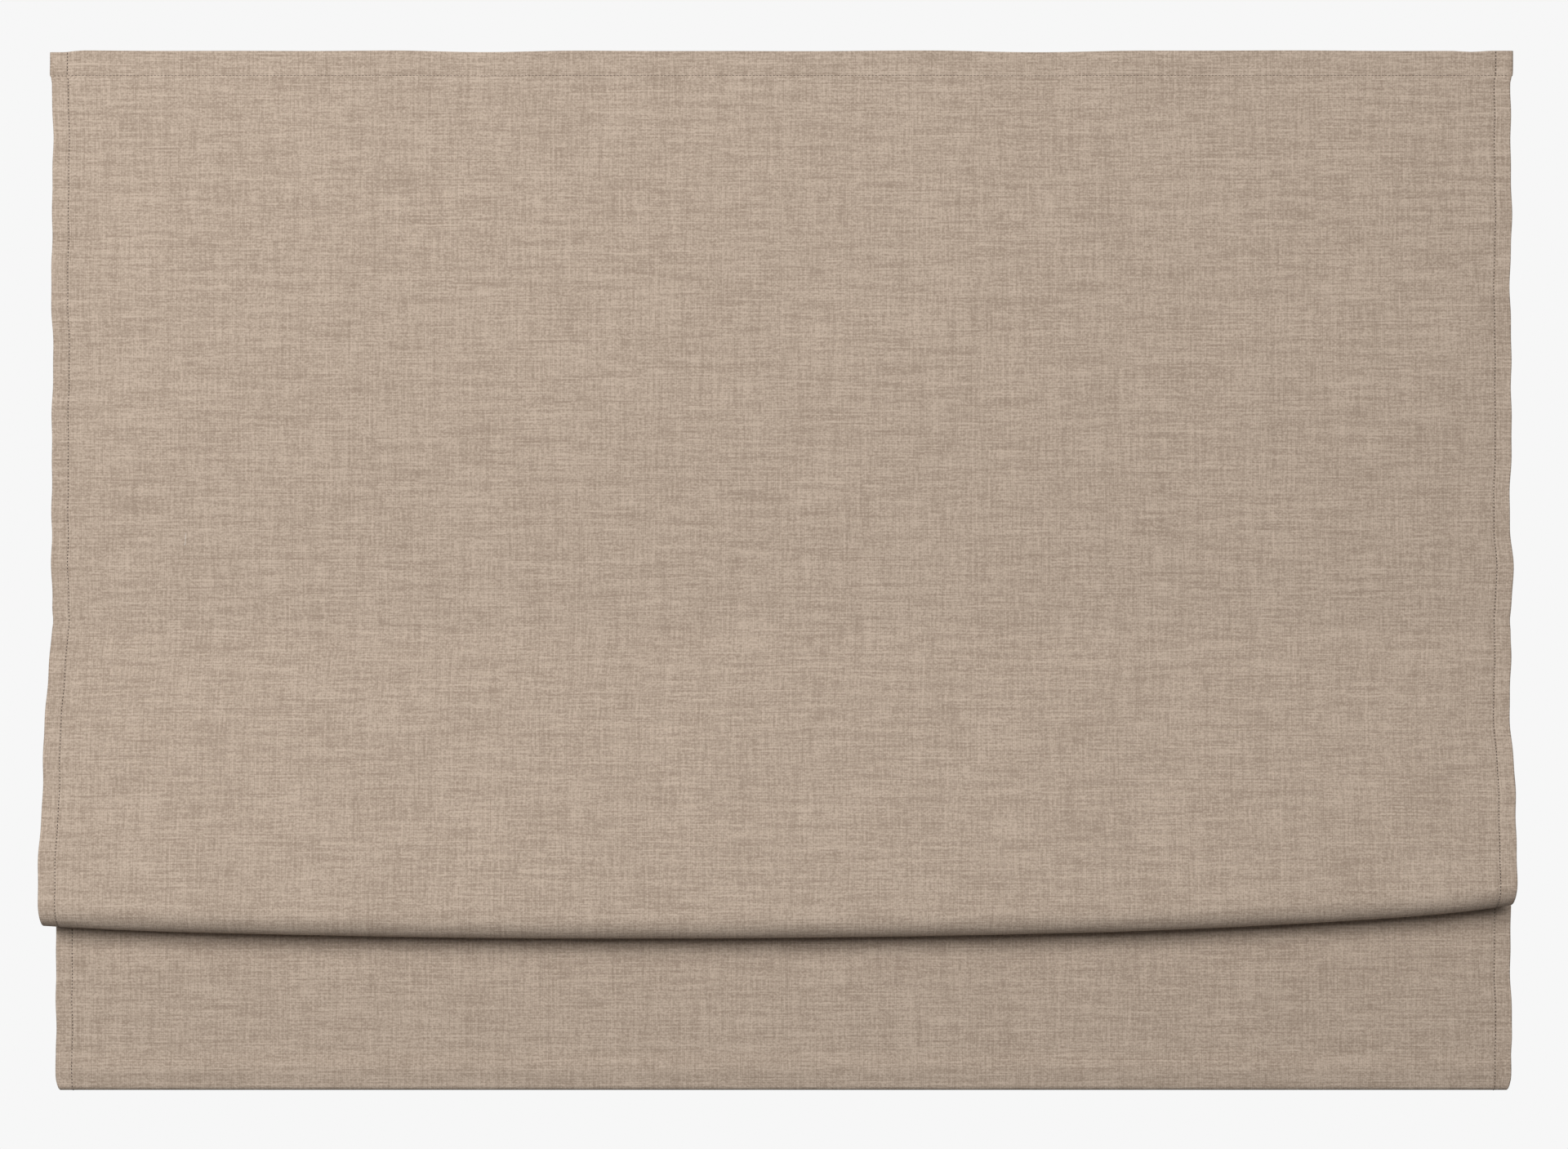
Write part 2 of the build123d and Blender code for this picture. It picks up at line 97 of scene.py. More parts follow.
# ---- camera and light ----------------------------------------------------------
VIEW_DISTANCE = 3.25          # camera to the cloth's plane
VIEW_WIDTH = 1.2918           # width of the picture at the cloth's plane
VIEW_DROP = 0.431             # cloth's top edge to the camera's height
VIEW_SHIFT = 2 * MM           # camera to the right of the blind's middle


def make_camera():
    camera = bpy.data.objects.new("camera", bpy.data.cameras.new("camera"))
    bpy.context.collection.objects.link(camera)
    camera.data.sensor_width = 36
    camera.data.lens = camera.data.sensor_width * VIEW_DISTANCE / VIEW_WIDTH
    camera.location = (VIEW_SHIFT, cloth_middle - VIEW_DISTANCE, fabric_top - VIEW_DROP)
    camera.rotation_euler = (math.radians(90), 0, 0)
    bpy.context.scene.camera = camera


def aim(obj, target):
    obj.rotation_euler = (Vector(target) - obj.location).to_track_quat("-Z", "Y").to_euler()


def area_light(name, place, target, size, power):
    data = bpy.data.lights.new(name, "AREA")
    data.shape, data.size, data.energy = "SQUARE", size, power
    light = bpy.data.objects.new(name, data)
    bpy.context.collection.objects.link(light)
    light.location = place
    aim(light, target)


def make_world(seen, given):
    """The backdrop's brightness as seen, and what it gives to the object as light."""
    world = bpy.data.worlds.new("studio")
    bpy.context.scene.world = world
    world.use_nodes = True
    nodes, links = world.node_tree.nodes, world.node_tree.links
    nodes.clear()
    path = nodes.new("ShaderNodeLightPath")
    strength = nodes.new("ShaderNodeMapRange")
    strength.inputs["To Min"].default_value = given
    strength.inputs["To Max"].default_value = seen
    background = nodes.new("ShaderNodeBackground")
    background.inputs["Color"].default_value = (1, 1, 1, 1)
    output = nodes.new("ShaderNodeOutputWorld")
    links.new(path.outputs["Is Camera Ray"], strength.inputs["Value"])
    links.new(strength.outputs["Result"], background.inputs["Strength"])
    links.new(background.outputs[0], output.inputs[0])


make_camera()
bpy.context.scene.view_settings.view_transform = "Standard"
make_world(seen=0.93, given=0.08)
blind_middle = (0, cloth_middle, (fabric_top + fabric_low.z) / 2)
area_light("key", (-1.6, -3.3, 0.7), blind_middle, size=1.9, power=122)
area_light("fill", (1.4, -3.3, 0.6), blind_middle, size=1.4, power=37)
area_light("rear", (0.6, 2.6, 0.9), blind_middle, size=2.0, power=80)
for way in (-1, 1):
    area_light(f"side_{way + 1}", (way * 2.8, 0.9, 0.6), blind_middle, size=1.4, power=22)


# ---- material nodes ------------------------------------------------------------
class Shader:
    """Builds one material; every method returns a socket."""

    def __init__(self, name, **settings):
        self.material = bpy.data.materials.new(name)
        self.material.use_nodes = True
        self.tree = self.material.node_tree
        self.surface = self.tree.nodes["Principled BSDF"]
        for socket, value in settings.items():
            self.surface.inputs[socket.replace("_", " ")].default_value = value

    def node(self, kind, inputs=(), out=0, **settings):
        made = self.tree.nodes.new("ShaderNode" + kind)
        for key, value in settings.items():
            setattr(made, key, value)
        for key, value in dict(inputs).items():
            self.put(value, made.inputs[key])
        return made.outputs[out]

    def put(self, value, socket):
        if isinstance(value, bpy.types.NodeSocket):
            self.tree.links.new(value, socket)
        else:
            socket.default_value = value

    def math(self, operation, a, b=0.0):
        return self.node("Math", {0: a, 1: b}, operation=operation)

    def split(self, vector):
        made = self.tree.nodes.new("ShaderNodeSeparateXYZ")
        self.put(vector, made.inputs[0])
        return made.outputs

    def join(self, x, y, z=0.0):
        return self.node("CombineXYZ", {0: x, 1: y, 2: z})

    def scaled(self, vector, scale):
        return self.node("VectorMath", {0: vector, 1: scale}, operation="MULTIPLY")

    def noise(self, vector, detail=2.0, rough=0.5):
        """Noise about zero with cells of one unit."""
        made = self.node(
            "TexNoise", {"Vector": vector, "Scale": 1.0, "Detail": detail, "Roughness": rough}
        )
        return self.math("SUBTRACT", made, 0.5)

    def yarn(self, lengthwise, count, cells, seed):
        """Uneven tone of single yarns: streaks of two lengths, given as cells for each metre."""
        count = self.math("MULTIPLY", count, 0.9)
        long, short = (
            self.noise(self.join(self.math("MULTIPLY", lengthwise, c), count, seed + c), 1.0)
            for c in cells
        )
        return self.math("ADD", long, short)

    def patches(self, first, second, seed, detail):
        """Noise over a plane; first and second are (socket, cells for each unit)."""
        x, y = (self.math("MULTIPLY", socket, cells) for socket, cells in (first, second))
        return self.noise(self.join(x, y, seed), detail)

    def sum(self, *terms):
        """Weighted sum of (weight, socket) pairs."""
        total = 0.0
        for weight, socket in terms:
            total = self.math("ADD", self.math("MULTIPLY", socket, weight), total)
        return total

    def range(self, value, start, end, low=0.0, high=1.0):
        """A value taken softly from one range to another."""
        inputs = {"Value": value, 1: start, 2: end, 3: low, 4: high}
        return self.node("MapRange", inputs, interpolation_type="SMOOTHSTEP")

    def tint(self, dark, light, factor):
        """Colour between two, for a factor about zero that spans one unit."""
        made = self.tree.nodes.new("ShaderNodeMix")
        made.data_type = "RGBA"
        self.put(self.math("ADD", factor, 0.5), made.inputs["Factor"])
        made.inputs[6].default_value = (*dark, 1)
        made.inputs[7].default_value = (*light, 1)
        return made.outputs[2]

    def finish(self, colour=None, roughness=None, height=None, depth=0.1 * MM):
        if colour:
            self.put(colour, self.surface.inputs["Base Color"])
        if roughness:
            self.put(roughness, self.surface.inputs["Roughness"])
        if height:
            bump = self.node("Bump", {"Height": height, "Distance": depth, "Strength": 1.0})
            self.put(bump, self.surface.inputs["Normal"])
        return self.material


WARP_PITCH = 1.7 * MM         # threads down the cloth, spaced across it
WEFT_PITCH = 1.35 * MM        # threads across the cloth
CLOTH_DARK = (0.342, 0.261, 0.199)
CLOTH_LIGHT = (0.570, 0.459, 0.366)
TONE_ACROSS = 1.25            # contrast of the weft's streaks
TONE_DOWN = 0.9
GRAIN = 1.7                   # contrast from one crossing to the next
CLOTH_MAP = "cloth"           # metres across and along the cloth


def cloth_material():
    """Plain weave of uneven, slubby yarns, with painted shade in the hollows between threads."""
    s = Shader("slub_linen", Roughness=0.92, Sheen_Weight=0.05, Sheen_Roughness=0.5)
    place = s.node("UVMap", uv_map=CLOTH_MAP)
    wander = s.noise(s.scaled(place, (28, 28, 1)), 1.0)
    across, along, _ = s.split(place)
    across = s.sum((1.0, across), (1.6 * MM, wander))
    along = s.sum((1.0, along), (2.4 * MM, s.noise(s.scaled(place, (9, 34, 1)), 2.0)))
    warp = s.math("DIVIDE", across, WARP_PITCH)
    weft = s.math("DIVIDE", along, WEFT_PITCH)
    weft_yarn = s.yarn(across, weft, (18, 75), 1)
    warp_yarn = s.yarn(along, warp, (20, 85), 5)
    weft_band = s.patches((across, 14), (weft, 0.2), 3, 2.0)
    warp_band = s.patches((along, 12), (warp, 0.2), 11, 2.0)
    grain = s.patches((warp, 0.8), (weft, 0.8), 13, 1.0)
    slub = s.range(weft_yarn, 0.22, 0.4)
    wave_across = s.math("SINE", s.math("MULTIPLY", warp, math.pi))
    wave_along = s.math("SINE", s.math("MULTIPLY", weft, math.pi))
    over = s.range(s.math("MULTIPLY", wave_across, wave_along), -0.12, 0.12)
    height_warp = s.math("ABSOLUTE", wave_across)
    height_weft = s.math("ABSOLUTE", wave_along)
    mix = s.node("Mix", {"Factor": over, "A": height_weft, "B": height_warp})
    tone_weft = s.sum((1.0, weft_yarn), (0.8, weft_band), (0.2, slub))
    tone_warp = s.sum((1.0, warp_yarn), (0.6, warp_band))
    over_tone = s.sum((TONE_ACROSS * 0.6, tone_weft), (TONE_DOWN, tone_warp))
    under_tone = s.sum((TONE_ACROSS, tone_weft), (TONE_DOWN * 0.6, tone_warp))
    threads = s.node("Mix", {"Factor": over, "A": under_tone, "B": over_tone})
    # painted shade: the colour darkens where the weave's height is low, in the hollows between
    # threads
    gap_shade = s.range(mix, 0.1, 0.75, -0.34, 0.1)
    factor = s.sum((1.0, threads), (0.9, gap_shade), (GRAIN, grain))
    rise = s.sum((1.0, mix), (0.8, tone_weft), (0.4, grain))
    return s.finish(s.tint(CLOTH_DARK, CLOTH_LIGHT, factor), height=rise, depth=0.12 * MM)


def thread_material(name, dark, light):
    """Twisted sewing thread."""
    s = Shader(name, Roughness=0.6, Sheen_Weight=0.2)
    place = s.node("TexCoord", out=3)
    twist = s.noise(s.scaled(place, (2600, 2600, 2600)), 2.0)
    return s.finish(s.tint(dark, light, s.math("MULTIPLY", twist, 2.0)), height=twist)


def moulded_material(name, dark, light, rough, **settings):
    """Moulded plastic: slight flow marks and a fine spark-eroded skin."""
    s = Shader(name, **settings)
    place = s.node("TexCoord", out=3)
    flow = s.noise(s.scaled(place, (60, 110, 110)), 3.0)
    skin = s.noise(s.scaled(place, (1900, 1900, 1900)), 2.0)
    roughness = s.sum((0.25, flow), (0.15, skin), (1.0, rough))
    return s.finish(s.tint(dark, light, s.math("ADD", flow, skin)), roughness, skin, 0.03 * MM)


def metal_material(name, dark, light, rough, grain, **settings):
    """Metal with a drawn or rolled grain; grain is the scale along each axis."""
    s = Shader(name, **settings)
    place = s.node("TexCoord", out=3)
    drawn = s.noise(s.scaled(place, grain), 3.0, 0.6)
    cloud = s.noise(s.scaled(place, (35, 35, 35)), 3.0)
    roughness = s.sum((0.35, drawn), (0.25, cloud), (1.0, rough))
    tone = s.sum((1.0, drawn), (0.8, cloud))
    return s.finish(s.tint(dark, light, tone), roughness, drawn, 0.015 * MM)


def woven_tape_material(name, dark, light, pitch):
    """Narrow woven tape with ribs across it."""
    s = Shader(name, Roughness=0.85, Sheen_Weight=0.15)
    place = s.node("TexCoord", out=3)
    x, _, z = s.split(place)
    rib = s.math("SINE", s.math("MULTIPLY", x, 2 * math.pi / pitch))
    row = s.math("SINE", s.math("MULTIPLY", z, 2 * math.pi / pitch))
    weave = s.math("MULTIPLY", rib, row)
    fuzz = s.noise(s.scaled(place, (900, 900, 900)), 2.0)
    tone = s.sum((0.35, weave), (1.0, fuzz))
    return s.finish(s.tint(dark, light, tone), height=s.sum((1.0, weave), (0.6, fuzz)))


def cord_material():
    """Round braid."""
    s = Shader("white_cord", Roughness=0.75, Sheen_Weight=0.2)
    place = s.node("TexCoord", out=3)
    x, y, z = s.split(place)
    round_it = s.math("MULTIPLY", s.math("ADD", x, y), 2600)
    down_it = s.math("MULTIPLY", z, 2600)
    left = s.math("SINE", s.math("ADD", round_it, down_it))
    right = s.math("SINE", s.math("SUBTRACT", round_it, down_it))
    braid = s.math("MULTIPLY", left, right)
    fuzz = s.noise(s.scaled(place, (1500, 1500, 1500)), 2.0)
    tone = s.sum((0.45, braid), (0.6, fuzz))
    return s.finish(s.tint((0.66, 0.65, 0.62), (0.90, 0.90, 0.87), tone), height=braid)


def pile_material(name, dark, light, scale):
    """Hook or loop face: a dense fine pile."""
    s = Shader(name, Roughness=0.95, Sheen_Weight=0.3)
    place = s.node("TexCoord", out=3)
    pile = s.noise(s.scaled(place, (scale, scale, scale)), 3.0, 0.7)
    return s.finish(s.tint(dark, light, s.math("MULTIPLY", pile, 1.6)), height=pile, depth=0.3 * MM)


WHITE = ((0.74, 0.74, 0.72), (0.84, 0.84, 0.82))
ALONG_RAIL = (6, 900, 900)    # grain drawn out along X
materials = {
    "slub_linen": cloth_material(),
    "rail_enamel": metal_material(
        "rail_enamel", (0.80, 0.80, 0.78), (0.88, 0.88, 0.86), 0.38, ALONG_RAIL
    ),
    "white_plastic": moulded_material("white_plastic", *WHITE, 0.42),
    "clear_plastic": moulded_material(
        "clear_plastic", (0.80, 0.81, 0.80), (0.90, 0.91, 0.90), 0.16, Transmission_Weight=0.55
    ),
    "hook_nylon": pile_material("hook_nylon", (0.62, 0.62, 0.59), (0.84, 0.84, 0.81), 1100),
    "white_tape": woven_tape_material(
        "white_tape", (0.68, 0.67, 0.63), (0.86, 0.85, 0.82), 0.9 * MM
    ),
    "zinc_steel": metal_material(
        "zinc_steel", (0.62, 0.63, 0.64), (0.78, 0.79, 0.80), 0.42, (120, 120, 120), Metallic=0.65
    ),
    "bright_steel": metal_material(
        "bright_steel", (0.60, 0.60, 0.61), (0.76, 0.76, 0.77), 0.32, (8, 700, 700), Metallic=0.7
    ),
    "white_cord": cord_material(),
    "glass_fibre": moulded_material("glass_fibre", (0.70, 0.73, 0.68), (0.82, 0.84, 0.80), 0.3),
    "bar_aluminium": metal_material(
        "bar_aluminium", (0.60, 0.61, 0.62), (0.74, 0.75, 0.76), 0.34, ALONG_RAIL, Metallic=0.7
    ),
    "brown_thread": thread_material("brown_thread", (0.030, 0.019, 0.012), (0.10, 0.068, 0.045)),
    "white_fibre": thread_material("white_fibre", (0.80, 0.79, 0.76), (0.97, 0.96, 0.94)),
}


def wear(obj, material):
    obj.data.materials.clear()
    obj.data.materials.append(materials[material])


for part in frame["record"]["subparts"]:
    wear(frame["nodes"][part["node"]], part["material_slot"])


# ---- the cloth's section -------------------------------------------------------
# A path of ("line", length) and ("arc", radius, degrees) steps, as the CAD draws it.
# A heading of 0 is straight down, 90 is towards the room and -90 is away from it.
LINE_STEP = 4.5 * MM
ARC_STEP = 3.0 * MM
ARC_TURN = 15.0               # degrees
RIM = 3                       # points round each side edge
COLUMN_PITCH = 7 * MM         # columns between the hems
CLEAR_OF_HEM = 6 * MM         # hem to the first of them


def walk(start, steps):
    """Stations along a path: one (along, y, z, heading) for each row of the cloth."""
    y, z = start
    along, heading = 0.0, 0.0
    rows = [(along, y, z, heading)]
    marks = [0]
    for step in steps:
        if step[0] == "line":
            count = max(1, math.ceil(step[1] / LINE_STEP))
            piece, turn = step[1] / count, 0.0
        else:
            length = step[1] * math.radians(abs(step[2]))
            count = math.ceil(max(length / ARC_STEP, abs(step[2]) / ARC_TURN))
            piece, turn = length / count, step[2] / count
        chord = piece
        if turn:
            chord = 2 * step[1] * math.sin(math.radians(abs(turn)) / 2)
        for _ in range(count):
            middle = math.radians(heading + turn / 2)
            y -= math.sin(middle) * chord
            z -= math.cos(middle) * chord
            heading += turn
            along += piece
            rows.append((along, y, z, heading))
        marks.append(len(rows) - 1)
    return np.array(rows), marks


lean, back_lean = math.radians(FRONT_LEAN), math.radians(BACK_LEAN)
turning_length = (
    SHOULDER_RADIUS * lean
    + NOSE_RADIUS * (math.pi + lean - back_lean)
    + CREASE_RADIUS * (math.pi - back_lean)
)
slack = FOLD_SECTION - 2 * FLAT_AT_ROD - turning_length
turning_depth = (
    NOSE_RADIUS * (math.cos(lean) + math.cos(back_lean))
    + CREASE_RADIUS * (1 + math.cos(back_lean))
    - SHOULDER_RADIUS * (1 - math.cos(lean))
)
front_straight = (slack * math.sin(back_lean) + turning_depth) / (
    math.sin(lean) + math.sin(back_lean)
)
back_straight = slack - front_straight
SEAM_REACH = 0.7 * MM         # rows this close together shape a stitched groove
WAIST_DROP = 37 * MM          # crease to the level where the fold's two halves are joined
nose_turn = 180 + FRONT_LEAN - BACK_LEAN
to_bottom = 90 + FRONT_LEAN
waist_run = back_straight - WAIST_DROP / math.cos(back_lean)
pocket_radius = BAR_DEPTH / 2 + POCKET_PLAY + CLOTH / 2
pocket_low = fabric_low.z + pocket_radius + CLOTH / 2
wrap = math.radians(POCKET_WRAP)
pocket_slant = (
    cloth_middle + pocket_radius * (1 + math.cos(wrap))
    - SEAM_RADIUS * (1 - math.cos(wrap)) - cloth_back - CLOTH / 2
) / math.sin(wrap)
SECTION = [
    ("line", HEADER_TURN - 2 * SEAM_REACH),
    *[("line", SEAM_REACH)] * 4,
    ("line", TOP_SECTION - HEADER_TURN - 2 * SEAM_REACH),
    ("line", FLAT_AT_ROD),
    ("arc", SHOULDER_RADIUS, FRONT_LEAN),
    ("line", front_straight),
    ("arc", NOSE_RADIUS, -to_bottom),
    ("arc", NOSE_RADIUS, to_bottom - nose_turn),
    ("line", waist_run),
    ("line", back_straight - waist_run),
    ("arc", CREASE_RADIUS, 90 - BACK_LEAN),
    ("arc", CREASE_RADIUS, 90),
    ("line", FLAT_AT_ROD),
    ("line", rod_low_z - pocket_low - ABOVE_POCKET),
    ("line", ABOVE_POCKET),
    ("arc", pocket_radius, -180),
    ("line", BAR_HEIGHT - BAR_DEPTH),
    ("arc", pocket_radius, -POCKET_WRAP),
    ("line", pocket_slant),
    ("arc", SEAM_RADIUS, POCKET_WRAP),
    ("line", POCKET_SEAM),
]
rows, marks = walk((cloth_middle, fabric_top), SECTION)
HEADER_ROW, ROD_ROW, SHOULDER_ROW = marks[5], marks[6], marks[8]
FRONT_ROW, NOSE_ROW, NOSE_END, WAIST_ROW = marks[9:13]
CREASE_ROW, LOW_ROD_ROW, POCKET_ROW = marks[14], marks[16], marks[18]
POCKET_BACK, LAST_ROW = marks[21], marks[-1]
along, _, row_z, _ = rows.T


def smooth(value, start, end):
    """0 before a range and 1 after it, with a soft change between."""
    t = np.clip((value - start) / (end - start), 0, 1)
    return t * t * (3 - 2 * t)


def swell(value, start, end):
    """0 at both ends of a range and outside it, 1 in its middle."""
    t = np.clip((value - start) / (end - start), 0, 1)
    return np.sin(math.pi * t) ** 2


# ---- the cloth's own unevenness ------------------------------------------------
LEFT_RISE = 10.8 * MM         # how much higher the fold hangs at each end than in its middle
RIGHT_RISE = 21 * MM
CORNER_RISE = 6.5 * MM        # the right corner's own curl
FOLD_SINK = 7.6 * MM          # how much lower the fold's middle hangs than the CAD's fold
LOWEST_AT = -0.13             # where the fold hangs lowest, as a share of the half width
FOLD_DRIFT = 3.0 * MM         # how far the fold hangs to the left
PANEL_NARROWING = 1.3 * MM    # each side of the bottom panel
PANEL_DRIFT = 1.5 * MM        # how far the bottom panel hangs to the right
BAR_BULGE = 1.4 * MM          # how far the cloth stands out over the bottom bar
DROP_PROUD = 1.6              # in mm, as the waves are: clears what rises behind the top
HEADER_TAB = 1.2 * MM         # how far the thick header corners stand out
CORNER_PULL = 2.6 * MM        # how far the bottom corners are pulled in
ROD_GRIP = 18 * MM            # how far above and below a rod the side edges are held still
TOP_WAVE_REACH = 30 * MM      # how far down the top edge's waves are felt
FOLD_EASE = 90 * MM           # upper rod to where the fold has drifted in full
PANEL_EASE = (10 * MM, 55 * MM)  # lower rod to where the panel starts and ends its drift
EDGE_POWER, CORNER_POWER = 10, 80  # how close to the side edges their own shapes stay
STITCH_INSET = 12.6 * MM      # side edge to the hem's stitches
SEAM_INSET = 3 * MM           # side edge to the header seam's first stitch
STITCH_PITCH = 2.8 * MM
STITCH_LENGTH = 1.8 * MM
STITCH_ARCH = 0.35            # how high a stitch stands in its middle, in thread radii
HEM_THREAD = 0.36 * MM        # radius
HEADER_THREAD = 0.22 * MM     # radius


def fold_rise(u):
    """The fold's lowest line above its lowest point; u runs from -1 to 1 across the cloth."""
    left = np.clip((LOWEST_AT - u) / (1 + LOWEST_AT), 0, 1)
    right = np.clip((u - LOWEST_AT) / (1 - LOWEST_AT), 0, 1)
    ripple = 0.7 * MM * np.sin(9.0 * u + 0.6) * np.clip(np.abs(u), 0.2, 1)
    ends = LEFT_RISE * left**2.9 + RIGHT_RISE * right**2 + CORNER_RISE * right**14
    return ends + ripple - FOLD_SINK


def rise_share(row):
    """How much of the fold's rise each row takes: all of it at the nose, none at the rods."""
    shoulder, front = along[SHOULDER_ROW], along[FRONT_ROW]
    down = np.clip((along[row] - shoulder) / (front - shoulder), 0, 1)
    back = 1 - smooth(along[row], along[NOSE_ROW], along[WAIST_ROW])
    return np.where(row <= NOSE_ROW, down, np.where(row < WAIST_ROW, back, 0.0))


def edge_shift(side, a):
    """How far a side edge stands out at each place along the cloth."""
    phase = 0.0 if side < 0 else 2.1
    wave = (
        0.55 * np.sin(2 * math.pi * a / 0.171 + 1.3 + phase)
        + 0.45 * np.sin(2 * math.pi * a / 0.093 + 0.4 + 2 * phase)
        + 0.25 * np.sin(2 * math.pi * a / 0.041 + 3 * phase)
    ) * MM
    tab = HEADER_TAB * (1 - smooth(a, HEADER_TURN, HEADER_TURN + 4 * MM))
    at_rod, low_rod, end = along[ROD_ROW], along[LOW_ROD_ROW], along[POCKET_ROW]
    bulge = 1.8 * MM * swell(a, at_rod - 75 * MM, at_rod - 3 * MM)
    pinch = -0.7 * MM * swell(a, at_rod - 8 * MM, at_rod + 12 * MM)
    belly = (1.9 if side < 0 else 1.7) * MM * swell(a, at_rod + 12 * MM, low_rod - 20 * MM)
    held = sum(swell(a, rod - ROD_GRIP, rod + ROD_GRIP) for rod in (at_rod, low_rod))
    free = smooth(a, 8 * MM, 40 * MM) * (1 - smooth(a, end - 45 * MM, end - 22 * MM)) * (1 - held)
    return wave * free + tab + bulge + pinch + belly


def top_edge(x):
    """The top edge's waves: it dips only between the brackets and at the corners."""
    wave = 0.2 * np.sin(x * 19 + 0.5) + 0.12 * np.sin(x * 43 + 2)
    dips = 1.3 * swell(x, -0.33, -0.17) + 0.6 * swell(x, -0.08, 0.10) + 1.0 * swell(x, 0.12, 0.30)
    corners = 1.6 * smooth(-x, 0.574, 0.592) + 0.9 * swell(x, 0.55, 0.585)
    return MM * (0.55 + wave - dips - corners)


def corner_pull(a):
    """How far the bottom corners are pulled in by the pocket's turn."""
    end = along[POCKET_ROW]
    return CORNER_PULL * smooth(a, end - 7 * MM, end + 8 * MM)


def billow(x, a):
    """The cloth's soft waves, away from the rail, the rods and the bottom bar."""
    free = swell(a, 26 * MM, along[ROD_ROW] - 8 * MM)
    fold = swell(a, along[SHOULDER_ROW] + 10 * MM, along[NOSE_ROW])
    panel = swell(a, along[LOW_ROD_ROW] + 6 * MM, along[POCKET_ROW] - 24 * MM)
    waves = (
        0.55 * np.sin(2 * math.pi * x / 0.31 + 0.7 + 1.8 * a)
        + 0.35 * np.sin(2 * math.pi * x / 0.147 + 2.2 - 2.5 * a)
        + 0.22 * np.sin(2 * math.pi * x / 0.083 + 5.1 + 7 * a)
    )
    level = 0.5 * np.sin(2 * math.pi * a / 0.19 + 1.1 + 2 * x)
    end = along[POCKET_ROW]
    over_bar = -BAR_BULGE * swell(a, end - 27 * MM, end + MM)
    waves = waves + level
    proud = waves - DROP_PROUD
    return MM * (free * proud + (1.3 * fold + 0.8 * panel) * waves) + over_bar


def seam_dip(x, a):
    """The groove that a row of stitches pulls into the face."""
    hem = np.exp(-(((half_width - np.abs(x) - STITCH_INSET) / (1.1 * MM)) ** 2))
    header = np.exp(-(((a - HEADER_TURN) / (1.2 * MM)) ** 2))
    pucker = 0.75 + 0.25 * np.sin(2 * math.pi * a / STITCH_PITCH / 3)
    tab = header * smooth(np.abs(x), half_width - HEM_WIDTH, half_width - HEM_WIDTH + MM)
    header_depth = 0.16 * (1 + 0.3 * np.sin(x * 260)) * header + 0.4 * tab
    return MM * (0.4 * hem * pucker + header_depth)


def cloth_points(x, row, offset):
    """Points of the cloth at stations across and rows along it, offset to its back."""
    x, row, offset = np.broadcast_arrays(x, row, offset)
    whole = np.clip(row, 0, LAST_ROW)
    low = np.minimum(np.floor(whole).astype(int), LAST_ROW - 1)
    part = whole - low
    a, y, z, heading = (v[low] * (1 - part) + v[low + 1] * part for v in rows.T)
    heading = np.radians(heading)
    share = rise_share(low) * (1 - part) + rise_share(low + 1) * part
    u = x / half_width
    rise = fold_rise(u) * share
    front = (offset < 0) * 1.0
    push = offset + billow(x, a) + front * seam_dip(x, a) * (low < POCKET_ROW)
    py = y + np.cos(heading) * push
    pz = z - np.sin(heading) * push + rise
    pz = pz + top_edge(x) * (1 - smooth(a, 0, TOP_WAVE_REACH))
    fold = smooth(a, along[ROD_ROW], along[ROD_ROW] + FOLD_EASE)
    fold = fold * (1 - smooth(a, along[NOSE_END], along[CREASE_ROW]))
    panel = smooth(a, *(along[LOW_ROD_ROW] + ease for ease in PANEL_EASE))
    edge = np.where(u < 0, -edge_shift(-1, a), edge_shift(1, a)) * np.abs(u) ** EDGE_POWER
    edge = edge - np.sign(u) * corner_pull(a) * np.abs(u) ** CORNER_POWER
    px = x + edge - FOLD_DRIFT * fold + (PANEL_DRIFT - PANEL_NARROWING * u) * panel
    return np.stack([px, py, pz], -1), np.stack([x, a - rise], -1)


def back_offset(x, row):
    """The back face behind the cloth's middle: more where hems and the header turn lie."""
    step = 0.4 * MM
    hem = smooth(np.abs(x), half_width - HEM_WIDTH, half_width - HEM_WIDTH + step)
    header = 1.0 - smooth(along[row], HEADER_TURN, HEADER_TURN + step)
    layers = HEM_LAYERS * hem * (row <= POCKET_BACK) + header * (1 + HEM_LAYERS * hem)
    return CLOTH / 2 + CLOTH * layers


def stations_across():
    """Columns of the cloth: close together at the hems' edges and stitches."""
    inner = half_width - HEM_WIDTH
    groove = half_width - STITCH_INSET
    hem = [half_width - d * MM for d in (0.0, 0.25, 1.2, 3.0, 5.5, 8.0, 10.2)]
    hem += [groove + d * MM for d in (1.0, 0.5, 0.0)] + [inner, inner - 0.6 * MM, inner - 2 * MM]
    reach = inner - CLEAR_OF_HEM
    middle = np.linspace(-reach, reach, round(2 * reach / COLUMN_PITCH))
    return np.array(sorted({-v for v in hem} | {*hem} | {*middle}))


def new_object(name, points, faces, material, flat_faces=()):
    mesh = bpy.data.meshes.new(name)
    mesh.from_pydata([tuple(p) for p in points], [], faces)
    for polygon in mesh.polygons:
        polygon.use_smooth = True
    for index in flat_faces:
        mesh.polygons[index].use_smooth = False
    obj = bpy.data.objects.new(name, mesh)
    bpy.context.collection.objects.link(obj)
    wear(obj, material)
    return obj


